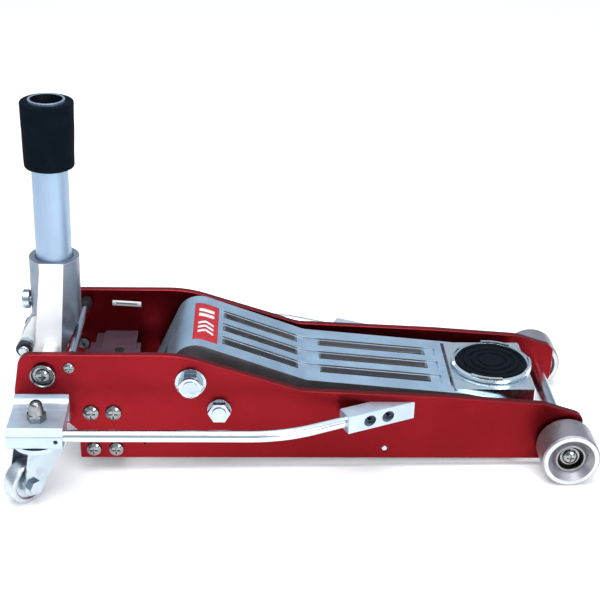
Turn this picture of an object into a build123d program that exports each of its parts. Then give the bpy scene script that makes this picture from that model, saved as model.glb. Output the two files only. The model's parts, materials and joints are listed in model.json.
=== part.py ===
from build123d import *
import os
from math import atan2, cos, degrees, radians, sin, sqrt, tan

# Low-profile trolley jack, lowered, with its handle upright. Millimetres.
# +X points to the saddle end, +Y to the far side and +Z up. The frame is modelled level, and then the
# whole jack leans nose-down by RAKE about the front axle, because the casters are the taller pair.
# "Near" pieces are at -Y; most pairs are modelled near and mirrored.

# ---------------------------------------------------------------- driving dimensions
RAKE = 0.91                                # nose-down lean of the frame, degrees
MID_X = 0.6                                # middle of the jack's length in the level frame
PLATE_IN, PLATE_OUT = 91.0, 101.0          # half-distances to the side plates' inner and outer faces

AXLE_X, AXLE_R = 347.5, 10.5               # front axle
WHEEL_R, WHEEL_IN, WHEEL_OUT = 38.0, 105.2, 150.4
AXLE_END = 136.0

ARM_X, ARM_Z, ARM_SHAFT_R = -147.0, 126.3, 15.0     # lift arm pivot
ARM_HALF, ARM_CHEEK, ARM_SKIN = 72.5, 10.0, 9.0     # half-width, cheek and top skin thickness
ARM_END_X = 199.0                          # front end of the arm's top skin
EAR_IN = 66.6                              # inside half-width of the arm's front ears
FRONT_PIN_X, FRONT_PIN_Z, FRONT_PIN_R = 239.0, 64.0, 8.0
LINK_DX, LINK_DZ = 36.6, -41.1             # level-link pivots from the arm's pivots, at both ends
LINK_IN, LINK_OUT, LINK_END_R = 76.0, 84.0, 11.0
LINK_BOLT_R, LINK_PIN_R = 9.0, 7.0

SADDLE_X, SADDLE_SEAT_Z, SADDLE_TOP_Z = 261.0, 96.6, 105.3
SADDLE_R, PAD_R, SPIGOT_R = 55.2, 48.0, 12.0
TAB_WIDE, TAB_TURN = 46.0, -16.0           # cup tabs: how far each reaches round, and where, degrees
BRACKET_BACK, BRACKET_FRONT, BRACKET_HALF = 202.5, 312.0, 66.0

LUG_R, LUG_ANGLE = 70.0, -120.0            # ram roller from the arm pivot, at rest
RAM_ROLLER_R, RAM_R, RAM_TUBE_R = 12.0, 12.0, 22.0
RAM_Z, RAM_GAP = 62.0, 1.0                 # ram axis, and its clearance behind the roller
RAM_BACK, RAM_TUBE_BACK, RAM_TUBE_FRONT = -284.0, -290.0, -208.0
UNIT_BACK, UNIT_FRONT, UNIT_TOP, UNIT_BOTTOM = -294.0, -225.0, 97.0, 14.0
PLUG_X, PLUG_Y, PLUG_R = -252.0, 32.6, 7.5      # oil filler plug
VALVE_Y, VALVE_Z, VALVE_R = 40.0, 60.0, 5.0     # release valve stem

HANDLE_X, HANDLE_Z, HANDLE_SHAFT_R = -335.4, 136.5, 8.5
HANDLE_LEAN = 0.94                         # handle axis from upright in the level frame, degrees
SOCKET_X, SOCKET_TOP = -327.8, 258.5       # centre of the socket's mouth
SOCKET_R, SOCKET_FLAT, SOCKET_FLOOR = 32.6, 28.5, 92.0
EAR_HALF, TRIM_LEAN, TRIM_SLOPE = 22.0, 4.6, 31.0   # half-width over the ears; the corner cuts, degrees
TUBE_R, TUBE_WALL, TUBE_TOP = 23.25, 3.0, 212.0     # handle tube; its top is above the socket's mouth
FOAM_LOW, FOAM_HIGH, FOAM_R_LOW, FOAM_R_HIGH = 124.0, 209.5, 32.0, 34.0
KNOB_DROP, KNOB_R, KNOB_LONG = 64.5, 12.7, 10.0
STOP_X, STOP_Z, STOP_R = -302.0, 146.0, 5.6

PUMP_ARM_R, PUMP_ANGLE, PUMP_ROLLER_R = 33.7, 176.0, 10.0   # pump roller from the handle pivot, at rest
PUMP_AXIS, PUMP_OFFSET = -64.0, -31.5      # plunger direction, and its distance from the handle pivot
PLUNGER_R, BARREL_R, PUMP_GAP = 8.0, 14.5, 0.5

CASTER_X, CASTER_Y, CASTER_TRAIL, CASTER_TURN = -339.0, 146.0, 24.0, 225.0
CASTER_R, CASTER_WIDE, FORK_IN, FORK_WALL = 28.0, 22.0, 15.0, 3.0
SHELF_Z, LIP_BOTTOM, STUD_R = 97.0, 71.0, 8.0
BRACKET_X, BRACKET_LONG = -374.0, 70.0     # caster bracket's back end and length

ROD_R, ROD_Y, ROD_Z = 7.6, 165.0, 84.7
ROD_BACK, ROD_BEND_X, ROD_BEND_R, ROD_BEND, ROD_TAIL = -366.0, -70.0, 195.0, 24.2, 60.0
ROD_INSET, BLOCK_Z = 45.0, 85.0            # end of the rod outside its block, and the block's height
BLOCK, BLOCK_LONG = 25.0, 180.0            # carry block's section, and its length before the plate cuts it
SET_SCREW_X, SET_SCREW_Z, SET_SCREW_R = -312.4, 82.0, 3.0

RUN = 0.05                                 # radial running clearance of shafts
FIT = 0.02                                 # radial clearance of fixed screws and pins


# ---------------------------------------------------------------- helpers
def outline(*corners):
    """A closed face from corners given as (x, z, radius)."""
    points = [(x, z) for x, z, _ in corners]
    return make_face(FilletPolyline(*points, radius=[r for _, _, r in corners], close=True))


def slab(face, y0, y1):
    """A face drawn in X and Z, made solid from y0 to y1."""
    return Pos(0, y1, 0) * extrude(Plane.XZ * face, y1 - y0)


def block(x0, x1, y0, y1, z0, z1):
    return Pos((x0 + x1) / 2, (y0 + y1) / 2, (z0 + z1) / 2) * Box(x1 - x0, y1 - y0, z1 - z0)


def bar(x, z, r, y0, y1):
    """A round bar along Y."""
    return Pos(x, (y0 + y1) / 2, z) * Rot(90, 0, 0) * Cylinder(r, y1 - y0)


def hexagon(x, z, flats, y0, y1):
    prism = extrude(RegularPolygon(flats / 2, 6, major_radius=False), y1 - y0)
    return Pos(x, y1, z) * Rot(90, 0, 0) * prism


def turned(*points):
    """A piece turned about Y, from points given as (radius, y)."""
    return revolve(make_face(Polyline(*points, close=True)), Axis.Y)


def hull(x0, z0, r0, x1, z1, r1):
    """The outline round two circles."""
    return make_hull((Pos(x0, z0) * Circle(r0)).edges() + (Pos(x1, z1) * Circle(r1)).edges())


def far(part):
    return mirror(part, Plane.XZ)


def group(*parts):
    return Compound([solid for part in parts for solid in part.solids()])


def pair(part):
    """The near piece and its mirror image, as two solids."""
    return group(part, far(part))


def polar(x, z, r, angle):
    return x + r * cos(radians(angle)), z + r * sin(radians(angle))


# ---------------------------------------------------------------- places worked out from the dimensions
LINK_X, LINK_Z = ARM_X + LINK_DX, ARM_Z + LINK_DZ
LINK_PIN_X, LINK_PIN_Z = FRONT_PIN_X + LINK_DX, FRONT_PIN_Z + LINK_DZ
ROLLER_X, ROLLER_Z = polar(ARM_X, ARM_Z, LUG_R, LUG_ANGLE)
PUMP_X, PUMP_Z = polar(HANDLE_X, HANDLE_Z, PUMP_ARM_R, PUMP_ANGLE)
RAM_FACE = ROLLER_X - RAM_ROLLER_R - RAM_GAP
HANDLE_AXIS = Pos(SOCKET_X, 0, SOCKET_TOP) * Rot(0, HANDLE_LEAN, 0)
BARREL_X, BARREL_Z = polar(HANDLE_X, HANDLE_Z, PUMP_OFFSET, PUMP_AXIS + 90)
PUMP_LINE = Pos(BARREL_X, 0, BARREL_Z) * Rot(0, 90 - PUMP_AXIS, 0)
PLUNGER_FACE = PUMP_ARM_R * cos(radians(PUMP_ANGLE - PUMP_AXIS)) + PUMP_ROLLER_R + PUMP_GAP
UNIT_SCREWS = [(-277.0, 80.0, 10.8), (-248.0, 80.0, 10.8), (-275.6, 24.8, 10), (-246.3, 24.8, 10)]
BRACKET_SCREWS = [(-309.0, 81.0), (-338.0, 81.0), (-367.0, 81.0)]
BLOCK_SCREWS = [84.6, 109.0]
ANCHOR_X, ANCHOR_Z, ANCHOR_R = 108.5, 25.7, 4.0
PORT_X, PORT_Z, PORT_R = -208.8, 34.0, 2.2


def caster_centre():
    """Level-frame place of the near caster wheel's centre; after the lean it stands on the floor."""
    turn = radians(CASTER_TURN)
    x, y = CASTER_X + CASTER_TRAIL * cos(turn), -CASTER_Y + CASTER_TRAIL * sin(turn)
    drop = (AXLE_X - x) * sin(radians(RAKE))
    return x, y, WHEEL_R + (CASTER_R - WHEEL_R - drop) / cos(radians(RAKE))


# ---------------------------------------------------------------- frame: plates
def plate_near():
    face = outline(
        (-373.5, 64, 4), (-373.5, 112, 40), (-364.5, 164.5, 16), (-160.4, 164.5, 170), (-3.1, 113, 30),
        (190, 103.8, 400), (316, 94.5, 60), (370, 76.7, 13), (370, 10.6, 22), (-293.5, 10.6, 2),
        (-293.5, 51.2, 1.5), (-306.3, 64, 2))
    plate = slab(face, -PLATE_OUT, -PLATE_IN)
    top = plate.edges().filter_by(Axis.Y, reverse=True)
    plate = chamfer(top, 0.7)
    holes = [(AXLE_X, WHEEL_R, AXLE_R), (ARM_X, ARM_Z, ARM_SHAFT_R), (LINK_X, LINK_Z, LINK_BOLT_R),
             (HANDLE_X, HANDLE_Z, HANDLE_SHAFT_R), (STOP_X, STOP_Z, 3.0), (ANCHOR_X, ANCHOR_Z, ANCHOR_R),
             (PORT_X, PORT_Z, PORT_R)]
    holes += [(x, z, 5.0) for x, z, _ in UNIT_SCREWS]
    holes += [(x, z, 3.5) for x, z in BRACKET_SCREWS]
    for x, z, r in holes:
        plate -= bar(x, z, r + FIT, -PLATE_OUT - 1, -PLATE_IN + 1)
    for distance in BLOCK_SCREWS:
        plate -= block_screw(distance, 4.0 + FIT, -140, -90)
    return plate - bar(ANCHOR_X, ANCHOR_Z, ANCHOR_R + 1.6, -PLATE_OUT - 1, -PLATE_OUT + 1.5)


# ---------------------------------------------------------------- frame: caster brackets and carry rods
def caster_bracket_near():
    section = outline(
        (-101, 72, 1), (-101, 108, 0.5), (-103.5, 108, 0.5), (-106.5, SHELF_Z + 2.4, 13),
        (-122, SHELF_Z + 1.4, 0), (-122, SHELF_Z, 0), (-168, SHELF_Z, 2),
        (-176, 88.6, 3), (-176, 73, 2), (-174, LIP_BOTTOM, 1), (-130, LIP_BOTTOM, 2), (-130, 88, 4),
        (-111, 88, 5), (-111, 72, 2))
    bracket = Pos(BRACKET_X, 0, 0) * extrude(Plane.YZ * section, BRACKET_LONG)
    bracket -= Pos(BRACKET_X + BRACKET_LONG, -ROD_Y, ROD_Z) * Rot(0, 90, 0) * Cylinder(ROD_R + FIT, 124)
    bracket -= Pos(CASTER_X, -CASTER_Y, 84) * Cylinder(STUD_R + FIT, 40)
    for x, z in BRACKET_SCREWS:
        bracket -= bar(x, z, 3.5 + FIT, -112, -100)
    return bracket - bar(SET_SCREW_X, SET_SCREW_Z, SET_SCREW_R + FIT, -177, -ROD_Y)


def bracket_screws():
    screws = []
    for x, z in BRACKET_SCREWS:
        head = bar(x, z, 7.8, -PLATE_IN, -86.5) - bar(x, z, 2.6, -89, -86)
        screws.append(head + bar(x, z, 3.5, -109, -PLATE_IN))
    return pair(group(*screws))


def rod_path():
    """The near carry rod's centre line: straight, one bend towards the plate, straight into its block."""
    turn = radians(ROD_BEND)
    bend_x = ROD_BEND_X + ROD_BEND_R * sin(turn)
    bend_y = -ROD_Y + ROD_BEND_R * (1 - cos(turn))
    start, mid = (ROD_BACK, -ROD_Y, ROD_Z), (ROD_BEND_X, -ROD_Y, ROD_Z)
    half = turn / 2
    through = (ROD_BEND_X + ROD_BEND_R * sin(half), -ROD_Y + ROD_BEND_R * (1 - cos(half)), ROD_Z)
    end = (bend_x + ROD_TAIL * cos(turn), bend_y + ROD_TAIL * sin(turn), ROD_Z)
    bend = (bend_x, bend_y, ROD_Z)
    return Wire([Edge.make_line(start, mid), Edge.make_three_point_arc(mid, through, bend),
                 Edge.make_line(bend, end)]), end


def carry_rod_near():
    path, _ = rod_path()
    profile = Plane(origin=path @ 0, z_dir=(1, 0, 0)) * Circle(ROD_R)
    return sweep(profile, path=path)


def block_frame():
    """The carry block's own frame: its +X runs along the block from the end that the rod enters."""
    _, end = rod_path()
    inset = ROD_TAIL - ROD_INSET
    turn = radians(ROD_BEND)
    return Pos(end[0] - inset * cos(turn), end[1] - inset * sin(turn), BLOCK_Z) * Rot(0, 0, ROD_BEND)


def carry_block_near():
    body = block_frame() * Pos(BLOCK_LONG / 2, 0, 0) * Box(BLOCK_LONG, BLOCK, BLOCK)
    body = chamfer(body.edges().filter_by(Axis.Z, reverse=True), 0.8)
    body -= block(-60, 400, -PLATE_OUT, 60, 0, 200)
    socket = Rot(0, 90, 0) * Cylinder(ROD_R + FIT, 2 * (ROD_TAIL - ROD_INSET + 0.2))
    body -= block_frame() * Pos(0, 0, ROD_Z - BLOCK_Z) * socket
    for distance in BLOCK_SCREWS:
        body -= block_screw(distance, 4.0 + FIT, -150, -100)
        body -= block_screw(distance, 8.0, -160, screw_seat(distance))
    return body


def screw_seat(distance):
    """Y of the counterbore's floor for a block screw."""
    return -114.5 + (distance - BLOCK_SCREWS[0]) * tan(radians(ROD_BEND))


def block_screw(distance, r, y0, y1):
    return bar(distance, BLOCK_Z, r, y0, y1)


def carry_rod_screws():
    parts = []
    for distance in BLOCK_SCREWS:
        seat = screw_seat(distance)
        head = block_screw(distance, 6.5, seat - 7, seat) + block_screw(distance, 4.0, seat, -PLATE_IN)
        parts.append(head - hexagon(distance, BLOCK_Z, 6, seat - 7.5, seat - 3))
    grub = bar(SET_SCREW_X, SET_SCREW_Z, SET_SCREW_R, -174.2, -ROD_Y - ROD_R - 0.05)
    parts.append(grub - hexagon(SET_SCREW_X, SET_SCREW_Z, 3, -175, -173.2))
    return pair(group(*parts))


# ---------------------------------------------------------------- frame: front axle
def front_axle():
    axle = bar(AXLE_X, WHEEL_R, AXLE_R, -AXLE_END, AXLE_END)
    for y in (-AXLE_END, AXLE_END - 24):
        axle -= bar(AXLE_X, WHEEL_R, 4.0 + FIT, y, y + 24)
    return axle


def axle_spacers():
    ring = bar(AXLE_X, WHEEL_R, 15.0, -WHEEL_IN + 0.4, -PLATE_OUT)
    return pair(ring - bar(AXLE_X, WHEEL_R, AXLE_R + FIT, -110, -90))


def axle_end_screws():
    y = -AXLE_END
    washer = bar(AXLE_X, WHEEL_R, 12.5, y - 2, y) - bar(AXLE_X, WHEEL_R, 4.2, y - 3, y + 1)
    head = turned((0, y - 8), (5.5, y - 7.6), (9.3, y - 5.2), (10, y - 4), (10, y - 2), (4, y - 2),
                  (4, y + 20), (0, y + 20))
    head = Pos(AXLE_X, 0, WHEEL_R) * head
    head -= block(AXLE_X - 5, AXLE_X + 5, y - 9, y - 4.5, WHEEL_R - 0.9, WHEEL_R + 0.9)
    head -= block(AXLE_X - 0.9, AXLE_X + 0.9, y - 9, y - 4.5, WHEEL_R - 5, WHEEL_R + 5)
    return pair(group(washer, head))


def front_wheel_near():
    a, b, bore = -WHEEL_IN, -WHEEL_OUT, AXLE_R + RUN
    inner = [(bore, a), (17, a), (19, a - 3), (28, a - 3), (31, a), (WHEEL_R - 2, a), (WHEEL_R, a - 2)]
    outer = [(WHEEL_R, b + 2), (WHEEL_R - 2, b), (30.5, b), (29.5, b + 1.2), (21, b + 11), (19.5, b + 6.6),
             (17.5, b + 6), (16, b + 8), (16, -AXLE_END + 0.6), (bore, -AXLE_END + 0.6)]
    return Pos(AXLE_X, 0, WHEEL_R) * turned(*inner, *outer)


# ---------------------------------------------------------------- frame: power unit
def power_unit_body():
    body = block(UNIT_BACK, UNIT_FRONT, -62, 62, UNIT_BOTTOM, UNIT_TOP)
    body += block(UNIT_BACK + 6, UNIT_FRONT - 9, -PLATE_IN, PLATE_IN, UNIT_BOTTOM, UNIT_TOP)
    body = chamfer(body.edges().filter_by(Axis.X), 2)
    tail = slab(outline((-290, 30, 0), (-290, 90, 0), (-322, 90, 5), (-340, 62, 12), (-332, 30, 8)), -20, 20)
    barrel = PUMP_LINE * Pos(0, 0, 58) * Cylinder(BARREL_R, 60)
    body = body + tail + barrel
    body -= PUMP_LINE * Pos(0, 0, 58) * Cylinder(PLUNGER_R + RUN, 62)
    body -= Pos((RAM_TUBE_BACK + UNIT_FRONT) / 2, 0, RAM_Z) * Rot(0, 90, 0) * Cylinder(
        RAM_TUBE_R + FIT, UNIT_FRONT - RAM_TUBE_BACK + 0.02)
    body -= Pos(PLUG_X, PLUG_Y, UNIT_TOP) * Cylinder(PLUG_R + FIT, 24)
    body -= Pos(UNIT_BACK, VALVE_Y, VALVE_Z) * Rot(0, 90, 0) * Cylinder(VALVE_R + RUN, 48)
    for side in (-1, 1):
        for x, z, _ in UNIT_SCREWS:
            body -= bar(x, z, 5 + FIT, side * PLATE_IN - 16, side * PLATE_IN + 16)
    return body


def ram_cylinder():
    length = RAM_TUBE_FRONT - RAM_TUBE_BACK
    tube = Pos(RAM_TUBE_BACK + length / 2, 0, RAM_Z) * Rot(0, 90, 0) * Cylinder(RAM_TUBE_R, length)
    bore = Rot(0, 90, 0) * Cylinder(RAM_R + RUN, length - 4)
    return tube - Pos(RAM_TUBE_FRONT - (length - 4) / 2, 0, RAM_Z) * bore


def power_unit_cover():
    cover = block(UNIT_BACK - 5, UNIT_FRONT + 1, -36, 36, UNIT_TOP, UNIT_TOP + 3)
    cover += block(-277, -231, -PLATE_IN + 0.5, PLATE_IN - 0.5, UNIT_TOP, UNIT_TOP + 3)
    cover = fillet(cover.edges().filter_by(Axis.Z), 2)
    return cover - Pos(PLUG_X, PLUG_Y, UNIT_TOP) * Cylinder(PLUG_R + FIT, 24)


def filler_plug():
    plug = Pos(PLUG_X, PLUG_Y, UNIT_TOP - 3.5) * Cylinder(PLUG_R, 13.6)
    return plug - Pos(PLUG_X, PLUG_Y, UNIT_TOP + 3) * extrude(RegularPolygon(3, 6, major_radius=False), 6)


def pan_screw(x, z, head, shank, y_face, y_tip, tall=6.0):
    """A domed cross-slot screw driven from the near side into the plate face at y_face."""
    y = y_face
    screw = turned((0, y - tall), (head * 0.55, y - tall * 0.93), (head * 0.92, y - tall * 0.5),
                   (head, y - 1), (head, y), (shank, y), (shank, y_tip), (0, y_tip))
    screw = Pos(x, 0, z) * screw
    wide, slot = head * 0.55, head * 0.1
    screw -= block(x - wide, x + wide, y - tall - 1, y - tall * 0.45, z - slot, z + slot)
    return screw - block(x - slot, x + slot, y - tall - 1, y - tall * 0.45, z - wide, z + wide)


def power_unit_screws():
    return pair(group(*[pan_screw(x, z, head, 5.0, -PLATE_OUT, -80.0) for x, z, head in UNIT_SCREWS]))


# ---------------------------------------------------------------- frame: pivots
def arm_pivot_shaft():
    shaft = bar(ARM_X, ARM_Z, ARM_SHAFT_R, -PLATE_OUT, PLATE_OUT)
    return shaft + bar(ARM_X, ARM_Z, 10.0, -PLATE_OUT - 19, PLATE_OUT + 19)


def arm_pivot_nuts():
    y = -PLATE_OUT
    nut = bar(ARM_X, ARM_Z, 20.0, y - 3, y) + hexagon(ARM_X, ARM_Z, 28.0, y - 13, y - 3)
    nut += bar(ARM_X, ARM_Z, 14.0, y - 17.5, y - 13)
    return pair(nut - bar(ARM_X, ARM_Z, 10.0 + FIT, y - 20, y))


def link_pivot_bolts():
    head = bar(LINK_X, LINK_Z, 13.0, -LINK_IN + 0.2, -LINK_IN + 2.8)
    return pair(head + bar(LINK_X, LINK_Z, LINK_BOLT_R, -PLATE_OUT - 13, -LINK_IN + 0.2))


def link_pivot_nuts():
    y = -PLATE_OUT
    washer = bar(LINK_X, LINK_Z, 15.6, y - 2, y)
    nut = hexagon(LINK_X, LINK_Z, 26.0, y - 11, y - 2)
    sleeve = bar(LINK_X, LINK_Z, 13.0, -PLATE_IN, -LINK_OUT - 0.3)
    hole = bar(LINK_X, LINK_Z, LINK_BOLT_R + FIT, y - 12, -80)
    return pair(group(washer - hole, nut - hole, sleeve - hole))


def handle_pivot_shaft():
    shaft = bar(HANDLE_X, HANDLE_Z, HANDLE_SHAFT_R, -PLATE_OUT, PLATE_OUT)
    for side in (-1, 1):
        shaft -= bar(HANDLE_X, HANDLE_Z, 5.0 + FIT, side * PLATE_OUT - 24, side * PLATE_OUT + 24)
    return shaft


def handle_pivot_sleeves():
    sleeve = bar(HANDLE_X, HANDLE_Z, 10.4, -PLATE_IN, -SOCKET_FLAT - 0.5)
    return pair(sleeve - bar(HANDLE_X, HANDLE_Z, HANDLE_SHAFT_R + FIT, -PLATE_IN, -SOCKET_FLAT))


def handle_pivot_screws():
    """Button screws, each with its cup washer."""
    y = -PLATE_OUT
    cup = turned((5.0 + FIT, y), (16, y), (16, y - 5.5), (14.8, y - 6.5), (13.3, y - 5), (12.5, y - 2.5),
                 (5.0 + FIT, y - 2.5))
    screw = pan_screw(HANDLE_X, HANDLE_Z, 9.5, 5.0, y - 2.5, y + 20, tall=5.5)
    return pair(group(Pos(HANDLE_X, 0, HANDLE_Z) * cup, screw))


def handle_stop_bar():
    rod = bar(STOP_X, STOP_Z, STOP_R, -PLATE_IN, PLATE_IN)
    for side in (-1, 1):
        rod -= bar(STOP_X, STOP_Z, 3.0 + FIT, side * PLATE_IN - 18, side * PLATE_IN + 18)
    return rod


def stop_bar_sleeves():
    sleeve = bar(STOP_X, STOP_Z, 8.2, -PLATE_IN, -PLATE_IN + 20)
    sleeve += bar(STOP_X, STOP_Z, 7.2, -PLATE_IN + 20, -PLATE_IN + 23)
    return pair(sleeve - bar(STOP_X, STOP_Z, STOP_R + FIT, -PLATE_IN, -60))


def stop_bar_screws():
    return pair(pan_screw(STOP_X, STOP_Z, 7.6, 3.0, -PLATE_OUT, -PLATE_OUT + 24, tall=4.0))


def spring_anchor_rod():
    rod = bar(ANCHOR_X, ANCHOR_Z, ANCHOR_R, -PLATE_OUT - 0.5, PLATE_OUT + 0.5)
    return fillet(rod.edges().filter_by(GeomType.CIRCLE), 1.9)


# ---------------------------------------------------------------- lift arm
def arm_top():
    """Corners of the arm's upper edge, from the rear nose to where the top skin ends."""
    return [(-158.5, 173.2, 32.5), (3.9, 113.8, 24)]


def lift_arm():
    cheek = outline(
        *arm_top(), (215, 93.7, 100), (268, 84, 40), (284, 72, 14), (284, 44, 18), (232, 37, 20),
        (0, 64, 60), (-120, 84, 40), (-185, 64, 8), (-206, 70, 7))
    hollow = outline(
        (-152.3, 161.2, 23.5), (5.2, 103.6, 24), (ARM_END_X + 1, 86.3, 0), (ARM_END_X + 1, 20, 0),
        (-230, 20, 0), (-223.5, 54, 0), (-196, 72, 2))
    arm = slab(cheek, -ARM_HALF, ARM_HALF) - slab(hollow, -ARM_HALF + ARM_CHEEK, ARM_HALF - ARM_CHEEK)
    arm -= block(ARM_END_X, 300, -EAR_IN, EAR_IN, 20, 120)
    arm += bar(ARM_X, ARM_Z, 27.0, -ARM_HALF + 1, ARM_HALF - 1)
    arm += arm_ribs()
    arm -= slab(outline((-230, 40, 0), (-230, 118, 0), (-176, 118, 0), (-176, 40, 0)), -19, 19)
    arm -= bar(ARM_X, ARM_Z, 19.0, -ARM_HALF - 1, ARM_HALF + 1)
    arm -= bar(FRONT_PIN_X, FRONT_PIN_Z, FRONT_PIN_R + FIT, -ARM_HALF - 1, ARM_HALF + 1)
    arm -= arm_grooves()
    return arm


def arm_ribs():
    """Ribs under the skin between the slots, a web under the bend, and the two lugs of the ram roller."""
    under = outline((-130, 150, 0), (5.2, 103.6, 0), (ARM_END_X, 86.3, 0), (ARM_END_X, 76, 0),
                    (4, 92, 0), (-118, 130, 0))
    ribs = [slab(under, y - 3, y + 3) for y in (-19, 19)]
    web = block(8, 15, -ARM_HALF + 5, ARM_HALF - 5, 70, 104)
    lug = hull(ARM_X, ARM_Z, 27.0, ROLLER_X, ROLLER_Z, 14.0)
    lugs = slab(lug, -32, -20) + slab(lug, 20, 32)
    lugs -= bar(ROLLER_X, ROLLER_Z, 6.0 + FIT, -40, 40)
    return ribs[0] + ribs[1] + web + lugs


def arm_grooves():
    """Three shallow grooves over the whole top, each pierced by a long slot behind and before the bend."""
    groove = outline((-109, 152.2, 0), (3.9, 110.9, 24), (189, 93.3, 0), (189, 130, 0), (3.9, 140, 0),
                     (-109, 190, 0))
    cut = None
    for y in (-37.5, 0, 37.5):
        slots = [rounded_slot(-108, -6, y), rounded_slot(23, 174, y)]
        piece = slab(groove, y - 11, y + 11) + slots[0] + slots[1]
        cut = piece if cut is None else cut + piece
    return cut


def rounded_slot(x0, x1, y):
    return Pos((x0 + x1) / 2, y, 110) * extrude(RectangleRounded(x1 - x0, 20, 4), 46, both=True)


def arm_bushes():
    bush = bar(ARM_X, ARM_Z, 19.0 - FIT, -ARM_HALF, -ARM_HALF + 30)
    return pair(bush - bar(ARM_X, ARM_Z, ARM_SHAFT_R + RUN, -80, -30))


def ram_roller():
    roller = bar(ROLLER_X, ROLLER_Z, RAM_ROLLER_R, -16, 16) - bar(ROLLER_X, ROLLER_Z, 6.0 + RUN, -20, 20)
    return chamfer(roller.edges().filter_by(GeomType.CIRCLE), 0.8)


def ram_roller_pin():
    return bar(ROLLER_X, ROLLER_Z, 6.0, -32, 32)


def saddle_bracket_pin():
    return bar(FRONT_PIN_X, FRONT_PIN_Z, FRONT_PIN_R, -ARM_HALF, ARM_HALF)


# ---------------------------------------------------------------- level links and saddle
def level_link_near():
    long = sqrt((LINK_PIN_X - LINK_X) ** 2 + (LINK_PIN_Z - LINK_Z) ** 2)
    turn = degrees(atan2(LINK_PIN_Z - LINK_Z, LINK_PIN_X - LINK_X))
    shape = Pos(LINK_X, LINK_Z) * Rot(0, 0, turn) * (
        Pos(long / 2, 0) * Rectangle(long, 18) + Circle(16) + Pos(long, 0) * Circle(LINK_END_R))
    link = slab(shape, -LINK_OUT, -LINK_IN)
    link -= bar(LINK_X, LINK_Z, LINK_BOLT_R + RUN, -100, -60)
    return link - bar(LINK_PIN_X, LINK_PIN_Z, LINK_PIN_R + FIT, -100, -60)


def level_link_pin():
    pin = bar(LINK_PIN_X, LINK_PIN_Z, LINK_PIN_R, -LINK_OUT - 2.5, LINK_OUT + 2.5)
    for side in (-1, 1):
        pin += bar(LINK_PIN_X, LINK_PIN_Z, 9.5, side * (LINK_OUT + 1.3) - 1.2, side * (LINK_OUT + 1.3) + 1.2)
    return pin


def saddle_bracket():
    top = SADDLE_SEAT_Z
    side = outline((BRACKET_BACK, top, 3), (BRACKET_FRONT, top, 3), (BRACKET_FRONT, 56, 6),
                   (292, 12.5, 10), (262, 12.5, 9), (222, 44, 20), (BRACKET_BACK, 76, 6))
    under = outline((BRACKET_BACK - 9, 84, 0), (300, 84, 4), (300, 5, 0), (BRACKET_BACK - 9, 5, 0))
    body = slab(side, -BRACKET_HALF, BRACKET_HALF) - slab(under, 10 - BRACKET_HALF, BRACKET_HALF - 10)
    plan = RectangleRounded(BRACKET_FRONT - BRACKET_BACK, 2 * BRACKET_HALF, 4)
    body &= Pos((BRACKET_BACK + BRACKET_FRONT) / 2, 0, 0) * extrude(plan, 120)
    body += Pos(SADDLE_X, 0, 80) * Cylinder(22, 12)
    body -= Pos(SADDLE_X, 0, 80) * Cylinder(SPIGOT_R + RUN, 60)
    body -= bar(FRONT_PIN_X, FRONT_PIN_Z, FRONT_PIN_R + RUN, -70, 70)
    return body - bar(LINK_PIN_X, LINK_PIN_Z, LINK_PIN_R + RUN, -70, 70)


def saddle_cup():
    z = SADDLE_SEAT_Z
    ring = make_face(Polyline((0, z + 0.1), (SADDLE_R - 3.5, z + 0.1), (SADDLE_R, z + 2.5), (SADDLE_R, 103),
                              (PAD_R + 2.2, 103.6), (PAD_R + 0.1, 102.4), (PAD_R + 0.1, 99.5), (0, 99.5),
                              close=True))
    cup = Pos(SADDLE_X, 0, 0) * revolve(Plane.XZ * ring, Axis.Z)
    tab = make_face(Polyline((PAD_R + 2.2, 100), (SADDLE_R, 100), (SADDLE_R - 0.6, 106.4),
                             (PAD_R + 3.6, 106.6), close=True))
    for turn in (0, 90, 180, 270):
        wedge = Rot(0, 0, turn + TAB_TURN - TAB_WIDE / 2) * revolve(Plane.XZ * tab, Axis.Z, TAB_WIDE)
        cup += Pos(SADDLE_X, 0, 0) * wedge
    return cup + Pos(SADDLE_X, 0, 76) * Cylinder(SPIGOT_R, 46)


def saddle_pad():
    pad = Pos(SADDLE_X, 0, 102.4) * Cylinder(PAD_R, 5.8)
    for r in (43, 32, 21):
        pad -= Pos(SADDLE_X, 0, SADDLE_TOP_Z) * (Cylinder(r, 2.4) - Cylinder(r - 5, 4))
    return pad


# ---------------------------------------------------------------- ram and pump
def ram_rod():
    head = 12.0
    long = RAM_FACE - head - RAM_BACK
    rod = Pos(RAM_BACK + long / 2, 0, RAM_Z) * Rot(0, 90, 0) * Cylinder(RAM_R, long)
    plate = Pos(RAM_FACE - head / 2, 0, RAM_Z) * Rot(0, 90, 0) * Cylinder(16, head)
    return rod + chamfer(plate.edges().filter_by(GeomType.CIRCLE), 1)


def pump_plunger():
    long = 52.0
    return PUMP_LINE * Pos(0, 0, PLUNGER_FACE + long / 2) * Cylinder(PLUNGER_R, long)


# ---------------------------------------------------------------- handle socket
def socket_profile():
    """Side view of the socket's round body; its lower front tapers to clear the stop bar."""
    return outline((-365, 262, 0), (-364.6, 113, 14), (-324, 112, 12), (-309.6, 148, 14),
                   (-294, 182, 20), (-293, 262, 0))


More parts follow.
